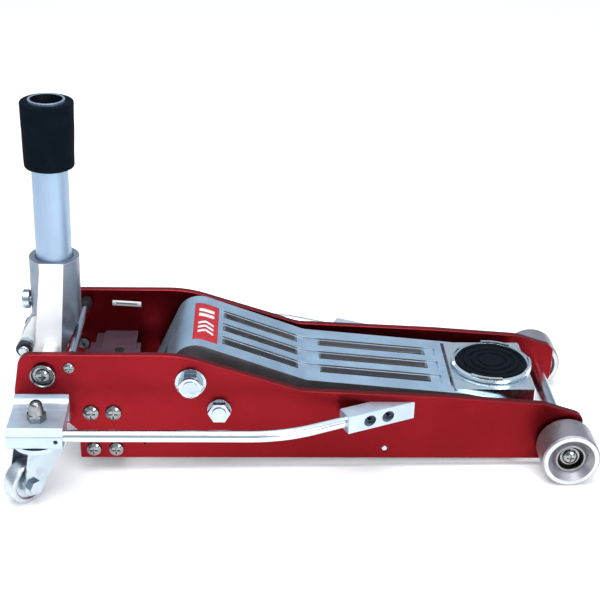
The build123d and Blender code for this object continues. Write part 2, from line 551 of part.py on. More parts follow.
def handle_socket():
    drop = 150.0
    body = HANDLE_AXIS * Pos(0, 0, -drop / 2) * Cylinder(SOCKET_R, drop)
    body &= slab(socket_profile(), -SOCKET_FLAT, SOCKET_FLAT)
    rear = outline((-345, 240, 0), (-359.5, 132, 4), (-355, 116, 8), (-335, 116, 0), (-330, 240, 0))
    body -= corner_cuts()
    body += slab(rear, -EAR_HALF, EAR_HALF)
    ear = make_hull((Pos(PUMP_X, PUMP_Z) * Circle(10.5)).edges() + (Pos(-352, 172) * Circle(9)).edges()
                    + (Pos(HANDLE_X, HANDLE_Z) * Circle(18)).edges())
    pad = outline((-342.8, 256, 0), (-359, 118, 6), (-330, 118, 0), (-330, 256, 0))
    body += slab(ear, -EAR_HALF, EAR_HALF) + slab(pad, -SOCKET_FLAT, SOCKET_FLAT)
    body -= HANDLE_AXIS * Pos(0, 0, -SOCKET_FLOOR / 2) * Cylinder(TUBE_R + 0.08, SOCKET_FLOOR)
    body -= HANDLE_AXIS * Pos(0, 0, -0.9) * Cone(TUBE_R, TUBE_R + 2.2, 2.0)
    gap = outline((-392, 156, 0), (-348, 156, 0), (-328, 128, 0), (-328, 90, 0), (-392, 90, 0))
    body -= slab(gap, -15.4, 15.4) - bar(HANDLE_X, HANDLE_Z, 18.0, -16, 16)
    body -= bar(HANDLE_X, HANDLE_Z, HANDLE_SHAFT_R + RUN, -40, 40)
    body -= bar(PUMP_X, PUMP_Z, 7.0 + FIT, -40, 40)
    return body - HANDLE_AXIS * Pos(-30, 0, -KNOB_DROP) * Rot(0, 90, 0) * Cylinder(5 + RUN, 30)


def corner_cuts():
    """Trims the socket's front corners, so that its side flats narrow towards the handle pivot."""
    edge = sqrt(SOCKET_R ** 2 - SOCKET_FLAT ** 2)
    rise = 40 * tan(radians(TRIM_SLOPE))
    wedge = extrude(make_face(Polyline((0, 0), (40, rise), (40, -10), (-6, -10), close=True)), -160)
    near = Pos(SOCKET_X + edge, -SOCKET_FLAT, SOCKET_TOP) * Rot(0, TRIM_LEAN, 0) * wedge
    return near + far(near)


def pump_roller():
    roller = bar(PUMP_X, PUMP_Z, PUMP_ROLLER_R, -14.8, 14.8) - bar(PUMP_X, PUMP_Z, 7.0 + RUN, -20, 20)
    return chamfer(roller.edges().filter_by(GeomType.CIRCLE), 0.6)


def pump_roller_pin():
    pin = bar(PUMP_X, PUMP_Z, 7.0, -45, 45)
    return fillet(pin.edges().filter_by(GeomType.CIRCLE), 2.5)


def roller_pin_rings():
    y = -SOCKET_FLAT
    ring = bar(PUMP_X, PUMP_Z, 9.6, y - 4, -EAR_HALF - 0.2) + bar(PUMP_X, PUMP_Z, 11.0, y - 11, y - 4)
    return pair(ring - bar(PUMP_X, PUMP_Z, 7.0 + FIT, y - 12, -EAR_HALF))


def clamp_knob():
    outer = -SOCKET_R - 1.2
    head = Pos(outer - KNOB_LONG / 2, 0, 0) * Rot(0, 90, 0) * Cylinder(KNOB_R, KNOB_LONG)
    head = chamfer(head.edges().filter_by(GeomType.CIRCLE), 1.2)
    tip = -TUBE_R - 0.6
    stem = Pos((outer + tip) / 2, 0, 0) * Rot(0, 90, 0) * Cylinder(5, tip - outer)
    return HANDLE_AXIS * Pos(0, 0, -KNOB_DROP) * (head + stem)


# ---------------------------------------------------------------- handle
def handle_tube():
    low = -SOCKET_FLOOR + 1.0
    long = TUBE_TOP - low
    tube = Pos(0, 0, low + long / 2) * (Cylinder(TUBE_R, long) - Cylinder(TUBE_R - TUBE_WALL, long))
    tube -= Pos(0, 0, low) * Box(10, 2 * TUBE_R + 10, 24)
    return HANDLE_AXIS * tube


def foam_sleeve():
    long = FOAM_HIGH - FOAM_LOW
    foam = Cone(FOAM_R_LOW, FOAM_R_HIGH, long) - Cylinder(TUBE_R + FIT, long + 2)
    return HANDLE_AXIS * Pos(0, 0, FOAM_LOW + long / 2) * foam


def release_valve_stem():
    """Needle stem in the power unit's rear face, with a forked end for the handle's universal joint."""
    stem = Pos(UNIT_BACK - 1, 0, 0) * Rot(0, 90, 0) * Cylinder(VALVE_R, 46)
    yoke = Pos(UNIT_BACK - 31, 0, 0) * Rot(0, 90, 0) * Cylinder(9, 14)
    yoke -= Pos(UNIT_BACK - 33, 0, 0) * Box(11, 6.5, 20)
    yoke -= Pos(UNIT_BACK - 33, 0, 0) * Rot(90, 0, 0) * Cylinder(2.5, 20)
    return Pos(0, VALVE_Y, VALVE_Z) * (stem + yoke)


# ---------------------------------------------------------------- casters
def at_caster(part):
    """Places a piece drawn at the caster's swivel, with local +X along the trail."""
    return Pos(CASTER_X, -CASTER_Y, 0) * Rot(0, 0, CASTER_TURN) * part


def caster_fork_near():
    _, _, z = caster_centre()
    top = 70.4
    plate = Pos(0, 0, top - 3) * Cylinder(32, 6)
    leg = make_hull(Polyline((-36, 64), (-34, top), (24, top), (27, 64), close=True).edges()
                    + (Pos(CASTER_TRAIL, z) * Circle(13.5)).edges())
    fork = plate
    for y0 in (-FORK_IN - FORK_WALL, FORK_IN):
        fork += slab(leg, y0, y0 + FORK_WALL)
    fork -= bar(CASTER_TRAIL, z, 5 + FIT, -30, 30)
    return at_caster(fork - Pos(0, 0, 68) * Cylinder(STUD_R + RUN, 20))


def caster_wheel_near():
    _, _, z = caster_centre()
    w, r = CASTER_WIDE / 2, CASTER_R
    half = [(5 + RUN, w + 2), (9, w + 2), (9, w - 3), (20, w - 3), (22, w), (r - 3, w), (r - 0.9, w - 1),
            (r, w - 3.4)]
    wheel = turned(*[(radius, -y) for radius, y in half], *reversed(half))
    return at_caster(Pos(CASTER_TRAIL, 0, z) * wheel)


def caster_axle_near():
    _, _, z = caster_centre()
    out = FORK_IN + FORK_WALL
    bolt = bar(CASTER_TRAIL, z, 7, -out - 11.5, -out) + hexagon(CASTER_TRAIL, z, 17, out, out + 6.5)
    bolt += bar(CASTER_TRAIL, z, 5, -out, out)
    bolt += hexagon(CASTER_TRAIL, z, 17, -out - 9, -out)
    return at_caster(bolt)


def caster_studs():
    stud = Pos(CASTER_X, -CASTER_Y, 85.5) * Cylinder(STUD_R, 51)
    stud += Pos(CASTER_X, -CASTER_Y, 62.1) * Cylinder(13, 4)
    return pair(stud)


def cap_nuts():
    hexa = Pos(0, 0, SHELF_Z) * extrude(RegularPolygon(10.8, 6, major_radius=False), 10)
    dome = Pos(0, 0, SHELF_Z + 10) * Cone(10.4, 8.2, 12, align=(Align.CENTER, Align.CENTER, Align.MIN))
    cap = Pos(0, 0, SHELF_Z + 22) * scale(Sphere(8.2), by=(1, 1, 0.66))
    nut = hexa + dome + cap - Pos(0, 0, 98) * Cylinder(STUD_R + FIT, 26.2)
    return pair(Pos(CASTER_X, -CASTER_Y, 0) * nut)


# ---------------------------------------------------------------- assembly
def stand(part):
    """Leans a level-frame piece nose-down about the front axle and centres the jack on X = 0."""
    lean = Pos(AXLE_X - MID_X, 0, WHEEL_R) * Rot(0, RAKE, 0) * Pos(-AXLE_X, 0, -WHEEL_R)
    return lean * part


def nodes():
    single = [
        front_axle, axle_spacers, axle_end_screws, power_unit_body, ram_cylinder, power_unit_cover,
        filler_plug, power_unit_screws, arm_pivot_shaft, arm_pivot_nuts, link_pivot_bolts, link_pivot_nuts,
        handle_pivot_shaft, handle_pivot_sleeves, handle_pivot_screws, handle_stop_bar, stop_bar_sleeves,
        stop_bar_screws, spring_anchor_rod, bracket_screws, carry_rod_screws, caster_studs, cap_nuts,
        lift_arm, arm_bushes, ram_roller, ram_roller_pin, saddle_bracket_pin, level_link_pin,
        saddle_bracket, saddle_cup, saddle_pad, ram_rod, pump_plunger, handle_socket, pump_roller,
        pump_roller_pin, roller_pin_rings, clamp_knob, handle_tube, foam_sleeve, release_valve_stem]
    for build in single:
        yield build.__name__, build()
    twins = {
        "side_plate": plate_near, "caster_bracket": caster_bracket_near, "carry_rod": carry_rod_near,
        "carry_block": carry_block_near, "front_wheel": front_wheel_near, "level_link": level_link_near,
        "caster_fork": caster_fork_near, "caster_wheel": caster_wheel_near, "caster_axle": caster_axle_near}
    for name, build in twins.items():
        near = build()
        yield name + "_near", near
        yield name + "_far", far(near)


os.makedirs("parts", exist_ok=True)
for name, part in nodes():
    export_step(stand(part), f"parts/{name}.step")
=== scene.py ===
import json
import math

import bmesh
import bpy
from mathutils import Matrix, Vector, noise


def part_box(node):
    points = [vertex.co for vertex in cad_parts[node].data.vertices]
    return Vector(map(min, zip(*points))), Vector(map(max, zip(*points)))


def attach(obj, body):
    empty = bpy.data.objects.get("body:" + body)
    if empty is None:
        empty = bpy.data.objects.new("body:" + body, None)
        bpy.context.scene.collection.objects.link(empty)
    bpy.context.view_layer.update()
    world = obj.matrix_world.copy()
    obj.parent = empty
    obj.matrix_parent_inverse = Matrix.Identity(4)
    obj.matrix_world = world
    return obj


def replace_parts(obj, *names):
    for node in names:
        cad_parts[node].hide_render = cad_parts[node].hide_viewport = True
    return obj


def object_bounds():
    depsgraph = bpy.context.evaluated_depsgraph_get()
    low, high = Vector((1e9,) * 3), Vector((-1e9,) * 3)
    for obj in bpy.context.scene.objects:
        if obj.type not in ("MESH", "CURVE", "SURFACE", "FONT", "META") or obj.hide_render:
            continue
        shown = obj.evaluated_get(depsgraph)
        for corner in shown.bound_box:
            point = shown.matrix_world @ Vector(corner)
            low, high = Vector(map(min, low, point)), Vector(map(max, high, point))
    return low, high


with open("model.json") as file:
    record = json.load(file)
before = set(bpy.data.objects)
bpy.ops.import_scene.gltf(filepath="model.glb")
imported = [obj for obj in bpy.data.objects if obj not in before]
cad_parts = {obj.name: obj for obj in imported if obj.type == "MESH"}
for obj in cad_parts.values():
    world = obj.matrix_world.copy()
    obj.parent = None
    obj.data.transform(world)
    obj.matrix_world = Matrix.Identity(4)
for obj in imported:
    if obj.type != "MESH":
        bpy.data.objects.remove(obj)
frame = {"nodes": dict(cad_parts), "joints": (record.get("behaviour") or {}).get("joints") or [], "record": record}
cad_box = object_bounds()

# Looks of a low-profile trolley jack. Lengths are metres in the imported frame: +X is the saddle end,
# -Y the near side, +Z up. MM turns millimetres into metres.
MM = 0.001

# ---------------------------------------------------------------- camera and light
CAMERA_AZIMUTH, CAMERA_ELEVATION, CAMERA_ROLL = -1.892, 26.299, 0.381     # degrees
CAMERA_TARGET = Vector((-0.0026, 0.0, 0.2008))
CAMERA_DISTANCE = 1.7078
CAMERA_LENS, SENSOR = 76.505, 36.0          # millimetres

FLOOR_HALF, FLOOR_DROP = 14.0, 0.02 * MM
FLOOR_COLOR, FLOOR_GLOW = (0.93, 0.93, 0.93), 0.14
LAMPS = {"overhead": ((-0.2, -0.4, 2.6), (0, 0, 0.1), 2.2, 52),       # place, aim, size, watts
         "front": ((1.5, -2.3, 1.5), (0.1, 0, 0.1), 1.4, 36)}
SKY = [(0.00, (0.66, 0.69, 0.73)), (0.08, (0.30, 0.35, 0.42)), (0.40, (0.34, 0.41, 0.50)),
       (0.72, (0.78, 0.85, 0.93)), (1.00, (1.15, 1.18, 1.22))]     # sine of the elevation, radiance

# ---------------------------------------------------------------- rounded edges of the metal parts
EDGE_WIDTH, EDGE_ANGLE, EDGE_SEGMENTS = 0.35 * MM, math.radians(32), 2
WELD, FLAT_ANGLE = 0.002 * MM, math.radians(0.02)

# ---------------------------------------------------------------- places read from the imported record
JOINTS = {joint["name"]: joint for joint in frame["joints"]}
MOUNTS = {mount["name"]: mount for mount in frame["record"]["mounts"]}
SLOT_OF = {part["node"]: part["material_slot"] for part in frame["record"]["subparts"]}
ARM_PIVOT = Vector(JOINTS["arm_lift"]["pos_m"])
WHEEL_AXIS = Vector(JOINTS["front_near_spin"]["pos_m"])
PAD_TOP, UP = Vector(MOUNTS["load_pad"]["pos_m"]), Vector(MOUNTS["load_pad"]["axis"]).normalized()
TUBE_TOP = Vector(MOUNTS["handle_bore"]["pos_m"])
HANDLE_UP = Vector(MOUNTS["handle_bore"]["axis"]).normalized()
FORWARD = Vector((0, 1, 0)).cross(UP)
COLLAR_STEP = 32.4 * MM         # half-distance to the rubber rings on the pump-roller pin
HUB_SHADE = 17.0 * MM          # radius of the painted shade in the bearing seat of each front wheel
WHEEL_RIM = 28.0 * MM           # inner radius of the bright ring on each front wheel's face
TUBE_BORE = (MOUNTS["handle_bore"]["dims"]["r_mm"] + 0.1) * MM


def from_arm_pivot(forward, side, up):
    """A place given in millimetres from the middle of the arm's pivot, square to the frame's lean."""
    return ARM_PIVOT + MM * (forward * FORWARD + Vector((0, side, 0)) + up * UP)


def reach(node, origin, axis):
    """How far a CAD node's points lie along an axis, lowest and highest, and the largest radius round it."""
    points = [vertex.co - origin for vertex in frame["nodes"][node].data.vertices]
    along = [point.dot(axis) for point in points]
    radius = max((point - distance * axis).length for point, distance in zip(points, along))
    return min(along), max(along), radius


# ---------------------------------------------------------------- material helpers
BEVEL_SAMPLES = 8


class Paint:
    """A node material under construction: a Principled shader with the nodes that feed it."""

    def __init__(self, name, color, roughness, metallic=1.0, **sockets):
        self.material = bpy.data.materials.new(name)
        self.material.use_nodes = True
        self.tree = self.material.node_tree
        self.shader = self.tree.nodes["Principled BSDF"]
        self.shader.inputs["Base Color"].default_value = (*color, 1)
        self.shader.inputs["Roughness"].default_value = roughness
        self.shader.inputs["Metallic"].default_value = metallic
        for socket, value in sockets.items():
            self.shader.inputs[socket.replace("_", " ")].default_value = value
        self.place = self.node("ShaderNodeTexCoord").outputs["Object"]
        self.normal = None

    def node(self, kind, **settings):
        made = self.tree.nodes.new(kind)
        for name, value in settings.items():
            setattr(made, name, value)
        return made

    def join(self, source, target):
        self.tree.links.new(source, target)

    def stretched(self, scale):
        """The part's own coordinates, multiplied by a scale for each axis."""
        mapping = self.node("ShaderNodeMapping", vector_type="TEXTURE")
        mapping.inputs["Scale"].default_value = [1 / share for share in scale]
        self.join(self.place, mapping.inputs["Vector"])
        return mapping.outputs["Vector"]

    def noise(self, scale, detail=3.0, place=None, rough=0.5):
        """A noise texture; scale is in features a metre."""
        made = self.node("ShaderNodeTexNoise")
        made.inputs["Scale"].default_value = scale
        made.inputs["Detail"].default_value = detail
        made.inputs["Roughness"].default_value = rough
        self.join(place or self.place, made.inputs["Vector"])
        return made.outputs["Fac"]

    def math(self, operation, a, b=None):
        made = self.node("ShaderNodeMath", operation=operation)
        for socket, value in zip(made.inputs, (a, b)):
            if isinstance(value, (int, float)):
                socket.default_value = value
            elif value is not None:
                self.join(value, socket)
        return made.outputs["Value"]

    def fit(self, source, low, high, to_low=0.0, to_high=1.0):
        """The source stretched from low..high to another range, held at its ends."""
        made = self.node("ShaderNodeMapRange")
        for name, value in (("From Min", low), ("From Max", high), ("To Min", to_low), ("To Max", to_high)):
            made.inputs[name].default_value = value
        self.join(source, made.inputs["Value"])
        return made.outputs["Result"]

    def tint(self, share, color):
        """Mixes another colour in where share is 1."""
        made = self.node("ShaderNodeMix", data_type="RGBA")
        base = self.shader.inputs["Base Color"]
        if base.is_linked:
            self.join(base.links[0].from_socket, made.inputs["A"])
        else:
            made.inputs["A"].default_value = base.default_value
        made.inputs["B"].default_value = (*color, 1)
        self.join(share, made.inputs["Factor"])
        self.join(made.outputs["Result"], base)
        return self

    def rough(self, source, low, high):
        """Roughness that follows a noise from low to high."""
        self.join(self.fit(source, 0.3, 0.7, low, high), self.shader.inputs["Roughness"])
        return self

    def bump(self, height, depth, strength=1.0):
        """Relief of this depth in metres, on top of any relief added before."""
        made = self.node("ShaderNodeBump")
        made.inputs["Distance"].default_value = depth
        made.inputs["Strength"].default_value = strength
        self.join(height, made.inputs["Height"])
        if self.normal:
            self.join(self.normal, made.inputs["Normal"])
        self.normal = made.outputs["Normal"]
        self.join(self.normal, self.shader.inputs["Normal"])
        return self

    def edges(self, radius=1.2 * MM):
        """1 on the convex and concave edges of a part, 0 on its faces."""
        bevel = self.node("ShaderNodeBevel", samples=BEVEL_SAMPLES)
        bevel.inputs["Radius"].default_value = radius
        geometry = self.node("ShaderNodeNewGeometry")
        dot = self.node("ShaderNodeVectorMath", operation="DOT_PRODUCT")
        self.join(bevel.outputs["Normal"], dot.inputs[0])
        self.join(geometry.outputs["Normal"], dot.inputs[1])
        return self.fit(dot.outputs["Value"], 0.995, 0.86)

    def facing(self, axis, low=0.985, high=0.998):
        """1 on faces square to an axis of the part (0 is X, 1 is Y, 2 is Z), either way round."""
        coords = self.node("ShaderNodeTexCoord")
        split = self.node("ShaderNodeSeparateXYZ")
        self.join(coords.outputs["Normal"], split.inputs["Vector"])
        return self.fit(self.math("ABSOLUTE", split.outputs[axis]), low, high)

    def radius(self, centre, axis=(0, 1, 0)):
        """Distance from a line through centre along a unit axis."""
        out = self.node("ShaderNodeVectorMath", operation="SUBTRACT")
        out.inputs[1].default_value = centre
        self.join(self.place, out.inputs[0])
        cross = self.node("ShaderNodeVectorMath", operation="CROSS_PRODUCT")
        cross.inputs[1].default_value = axis
        self.join(out.outputs["Vector"], cross.inputs[0])
        long = self.node("ShaderNodeVectorMath", operation="LENGTH")
        self.join(cross.outputs["Vector"], long.inputs[0])
        return long.outputs["Value"]

    def within(self, centre, axis, radius):
        """1 nearer to a line than radius, 0 beyond it."""
        return self.math("LESS_THAN", self.radius(centre, axis), radius)

    def rings(self, centre, pitch):
        """Turning marks round an axis along Y, from 0 to 1."""
        turns = self.math("MULTIPLY", self.radius(centre), 2 * math.pi / pitch)
        return self.fit(self.math("SINE", turns), -1, 1)


# ---------------------------------------------------------------- materials of slots and of single parts
def anodised_red():
    paint = Paint("anodised_red", (0.27, 0.012, 0.017), 0.32)
    # Large, slow patches of darker red: painted shade standing in for the uneven light along the plates.
    paint.tint(paint.fit(paint.noise(3.4), 0.38, 0.62), (0.18, 0.007, 0.010))
    paint.tint(paint.math("MULTIPLY", paint.fit(paint.noise(900, 2), 0.5, 0.7), 0.4), (0.38, 0.03, 0.04))
    # Lighter, pinker red along the edges: a painted highlight.
    paint.tint(paint.edges(0.8 * MM), (0.42, 0.05, 0.07))
    paint.rough(paint.noise(60), 0.28, 0.38)
    return paint.bump(paint.noise(3200, 2), 0.03 * MM, 0.5).material


def machined_aluminium():
    paint = Paint("machined_aluminium", (0.56, 0.66, 0.76), 0.4, 0.75)
    paint.tint(paint.fit(paint.noise(25), 0.35, 0.75), (0.48, 0.58, 0.68))
    lines = paint.noise(1, 2, paint.stretched((60, 60, 2600)))
    paint.rough(paint.noise(90), 0.34, 0.46)
    return paint.bump(lines, 0.02 * MM, 0.5).material


def chromed_bar():
    paint = Paint("chromed_bar", (0.76, 0.81, 0.84), 0.16)
    paint.tint(paint.fit(paint.noise(30), 0.5, 0.8), (0.66, 0.72, 0.78))
    paint.rough(paint.noise(70), 0.14, 0.22)
    return paint.bump(paint.noise(700, 2), 0.005 * MM, 0.2).material


def cast_aluminium():
    paint = Paint("cast_aluminium", (0.46, 0.62, 0.77), 0.36, 0.9)
    paint.tint(paint.fit(paint.noise(14), 0.4, 0.7), (0.39, 0.53, 0.66))
    # The faces square to Y, the arm's sides, painted darker: painted shade.
    paint.tint(paint.facing(1), (0.28, 0.29, 0.31))
    # Near-white along the edges: a painted highlight.
    paint.tint(paint.edges(1.0 * MM), (0.86, 0.92, 0.96))
    grain = paint.noise(1, 3, paint.stretched((90, 1600, 1600)))
    paint.rough(paint.noise(50), 0.34, 0.46)
    return paint.bump(grain, 0.03 * MM, 0.5).material


def anodised_silver():
    paint = Paint("anodised_silver", (0.34, 0.46, 0.60), 0.38, 0.9)
    streaks = paint.noise(1, 2, paint.stretched((700, 700, 6)))
    paint.tint(paint.math("MULTIPLY", paint.fit(streaks, 0.4, 0.7), 0.5), (0.42, 0.48, 0.60))
    # The inside of the tube's bore painted near black: painted shade in the hole.
    bore = paint.math("MULTIPLY", paint.within(TUBE_TOP, HANDLE_UP, TUBE_BORE), 0.96)
    paint.tint(bore, (0.02, 0.024, 0.03))
    paint.rough(paint.noise(45), 0.34, 0.46)
    return paint.bump(streaks, 0.02 * MM, 0.5).material


def socket_metal():
    paint = Paint("socket_metal", (0.29, 0.33, 0.385), 0.4, 0.9)
    paint.tint(paint.fit(paint.noise(22), 0.4, 0.7), (0.24, 0.28, 0.33))
    # The socket's flats, the faces square to Y, painted near-white and less metallic: a painted highlight where
    # they catch the front light.
    flats = paint.facing(1)
    paint.tint(flats, (0.95, 0.96, 0.96))
    paint.join(paint.fit(flats, 0, 1, 0.9, 0.2), paint.shader.inputs["Metallic"])
    # Lighter along the edges: a painted highlight.
    paint.tint(paint.edges(0.8 * MM), (0.72, 0.77, 0.82))
    paint.rough(paint.noise(80), 0.38, 0.52)
    return paint.bump(paint.noise(900, 4), 0.06 * MM, 0.4).material


def plated_steel():
    paint = Paint("plated_steel", (0.72, 0.80, 0.85), 0.22)
    paint.tint(paint.fit(paint.noise(35), 0.5, 0.8), (0.58, 0.65, 0.70))
    # Near-white along the edges: a painted highlight.
    paint.tint(paint.edges(0.5 * MM), (0.90, 0.93, 0.95))
    paint.rough(paint.noise(70), 0.18, 0.3)
    return paint.bump(paint.noise(240, 3), 0.01 * MM, 0.3).material


def pad_rubber():
    paint = Paint("pad_rubber", (0.002, 0.004, 0.007), 0.5, 0.0, Specular_IOR_Level=0.05)
    paint.tint(paint.fit(paint.noise(160, 4), 0.5, 0.75), (0.004, 0.007, 0.010))
    # Lighter along the ribs' edges: a painted highlight.
    paint.tint(paint.math("MULTIPLY", paint.edges(0.9 * MM), 0.5), (0.03, 0.04, 0.048))
    paint.rough(paint.noise(300, 3), 0.4, 0.6)
    return paint.bump(paint.noise(2600, 3), 0.06 * MM, 0.6).material


def grip_foam():
    paint = Paint("grip_foam", (0.002, 0.005, 0.009), 0.9, 0.0, Specular_IOR_Level=0.06)
    paint.tint(paint.fit(paint.noise(55, 4), 0.45, 0.75), (0.004, 0.008, 0.013))
    paint.tint(paint.fit(paint.noise(700, 3), 0.6, 0.8), (0.010, 0.015, 0.020))
    paint.bump(paint.noise(160, 4), 0.5 * MM, 0.35)
    return paint.bump(paint.noise(1900, 4, rough=0.7), 0.18 * MM, 0.8).material


def sleeve_rubber():
    paint = Paint("sleeve_rubber", (0.006, 0.011, 0.014), 0.45, 0.0, Specular_IOR_Level=0.3)
    paint.tint(paint.fit(paint.noise(120), 0.5, 0.8), (0.018, 0.026, 0.030))
    return paint.bump(paint.noise(2200, 2), 0.04 * MM, 0.5).material


def dark_paint():
    # Dark grey paint with a purple-red cast: the cast is a painted reflection of the red side plates.
    paint = Paint("dark_paint", (0.075, 0.045, 0.065), 0.4, 0.35)
    paint.tint(paint.fit(paint.noise(35, 4), 0.45, 0.75), (0.10, 0.065, 0.085))
    # Lighter, pinkish along the edges: a painted highlight.
    paint.tint(paint.math("MULTIPLY", paint.edges(), 0.6), (0.24, 0.19, 0.21))
    paint.rough(paint.noise(90), 0.34, 0.5)
    return paint.bump(paint.noise(1400, 3), 0.05 * MM, 0.4).material


def bronze():
    paint = Paint("bronze", (0.50, 0.34, 0.17), 0.4)
    paint.tint(paint.fit(paint.noise(90, 4), 0.45, 0.75), (0.38, 0.25, 0.12))
    return paint.bump(paint.noise(1800), 0.04 * MM, 0.5).material


def polished_steel():
    paint = Paint("polished_steel", (0.50, 0.56, 0.62), 0.18)
    paint.tint(paint.fit(paint.noise(60), 0.5, 0.8), (0.38, 0.43, 0.48))
    paint.rough(paint.noise(110), 0.14, 0.26)
    return paint.bump(paint.noise(1, 2, paint.stretched((1800, 60, 1800))), 0.01 * MM, 0.5).material


def zinc_plate():
    paint = Paint("zinc_plate", (0.23, 0.28, 0.33), 0.2)
    # Faces square to Y painted lighter and the other facets left dark: painted light and shade.
    paint.tint(paint.facing(1, 0.2, 0.6), (0.54, 0.63, 0.69))
    paint.tint(paint.math("MULTIPLY", paint.fit(paint.noise(60, 2), 0.45, 0.7), 0.5), (0.38, 0.42, 0.45))
    # Near-white along the edges: a painted highlight.
    paint.tint(paint.edges(0.5 * MM), (0.86, 0.90, 0.93))
    paint.rough(paint.noise(260), 0.16, 0.26)
    return paint.bump(paint.noise(500), 0.01 * MM, 0.2).material


def caster_metal():
    paint = Paint("caster_metal", (0.60, 0.65, 0.70), 0.34)
    paint.tint(paint.fit(paint.noise(70, 3), 0.45, 0.75), (0.50, 0.52, 0.54))
    # Near-white along the edges: a painted highlight.
    paint.tint(paint.edges(0.6 * MM), (0.84, 0.87, 0.89))
    paint.rough(paint.noise(110), 0.30, 0.42)
    return paint.bump(paint.noise(600), 0.01 * MM, 0.25).material


def screw_steel():
    paint = Paint("screw_steel", (0.13, 0.14, 0.145), 0.2)
    # Faces square to Y painted lighter and the other facets left dark: painted light and shade.
    paint.tint(paint.facing(1, 0.3, 0.9), (0.34, 0.35, 0.35))
    paint.tint(paint.math("MULTIPLY", paint.fit(paint.noise(220, 3), 0.45, 0.7), 0.6), (0.15, 0.16, 0.16))
    # Lighter along the edges: a painted highlight.
    paint.tint(paint.edges(0.4 * MM), (0.60, 0.60, 0.58))
    paint.rough(paint.noise(300), 0.14, 0.26)
    return paint.bump(paint.noise(600), 0.01 * MM, 0.2).material


def black_plastic():
    paint = Paint("black_plastic", (0.010, 0.011, 0.013), 0.4, 0.0, Specular_IOR_Level=0.3)
    paint.tint(paint.fit(paint.noise(400), 0.5, 0.8), (0.02, 0.021, 0.024))
    return paint.bump(paint.noise(1500), 0.04 * MM, 0.4).material


def turned_aluminium():
    """The front wheels: turning marks, a bright rim and painted shade in the bearing seat."""
    paint = Paint("turned_aluminium", (0.36, 0.35, 0.38), 0.36, 0.9)
    outside = paint.fit(paint.radius(WHEEL_AXIS), WHEEL_RIM, WHEEL_RIM + 1.5 * MM)
    rim = paint.math("MULTIPLY", paint.facing(1, 0.9, 0.99), outside)
    paint.tint(rim, (0.66, 0.66, 0.65))
    paint.tint(paint.math("MULTIPLY", paint.fit(paint.noise(40), 0.5, 0.8), 0.4), (0.30, 0.27, 0.26))
    # The bearing seat painted near black: painted shade in the hub's recess.
    paint.tint(paint.within(WHEEL_AXIS, (0, 1, 0), HUB_SHADE), (0.035, 0.03, 0.026))
    paint.rough(paint.noise(120), 0.34, 0.46)
    return paint.bump(paint.rings(WHEEL_AXIS, 0.9 * MM), 0.01 * MM, 0.3).material


def blackened_screws():
    """The socket screws of the carry rods, darker than the button screws."""
    paint = Paint("blackened_screws", (0.045, 0.052, 0.060), 0.28)
    paint.tint(paint.fit(paint.noise(220, 3), 0.45, 0.7), (0.03, 0.034, 0.038))
    # Lighter along the edges: a painted highlight.
    paint.tint(paint.edges(0.4 * MM), (0.26, 0.29, 0.32))
    paint.rough(paint.noise(300), 0.22, 0.36)
    return paint.bump(paint.noise(600), 0.01 * MM, 0.2).material


def collar_rubber():
    """The pump-roller pin's collars: a plated sleeve, and a rubber ring outboard of it."""
    paint = Paint("collar_rubber", (0.50, 0.58, 0.64), 0.3)
    coords = paint.node("ShaderNodeSeparateXYZ")
    paint.join(paint.place, coords.inputs["Vector"])
    ring = paint.math("GREATER_THAN", paint.math("ABSOLUTE", coords.outputs["Y"]), COLLAR_STEP)
    paint.tint(ring, (0.010, 0.013, 0.016))
    paint.join(paint.math("SUBTRACT", 1, ring), paint.shader.inputs["Metallic"])
    return paint.bump(paint.noise(900), 0.02 * MM, 0.3).material


def pale_spacers():
    """The spacers on the handle's pivot, painted near-white like the socket's flats: a painted highlight."""
    paint = Paint("pale_spacers", (0.86, 0.87, 0.88), 0.45, 0.2)
    paint.tint(paint.fit(paint.noise(90), 0.45, 0.75), (0.78, 0.80, 0.82))
    paint.rough(paint.noise(200), 0.40, 0.52)
    return paint.bump(paint.noise(900), 0.02 * MM, 0.3).material


def printed(name, color, shade):
    """A label's paper or ink."""
    paint = Paint(name, color, 0.5, 0.0, Specular_IOR_Level=0.25)
    paint.tint(paint.fit(paint.noise(180, 3), 0.4, 0.8), shade)
    return paint.bump(paint.noise(900), 0.02 * MM, 0.4).material


SLOT_LOOKS = {look.__name__: look for look in (
    anodised_red, machined_aluminium, chromed_bar, cast_aluminium, anodised_silver, socket_metal,
    plated_steel, pad_rubber, grip_foam, sleeve_rubber, dark_paint, bronze, polished_steel, zinc_plate,
    caster_metal, screw_steel, black_plastic)}
MATERIALS = {slot: look() for slot, look in SLOT_LOOKS.items()}
TURNED, COLLARS = turned_aluminium(), collar_rubber()
OWN_LOOKS = {"front_wheel_near": TURNED, "front_wheel_far": TURNED, "roller_pin_rings": COLLARS,
             "carry_rod_screws": blackened_screws(), "handle_pivot_sleeves": pale_spacers()}


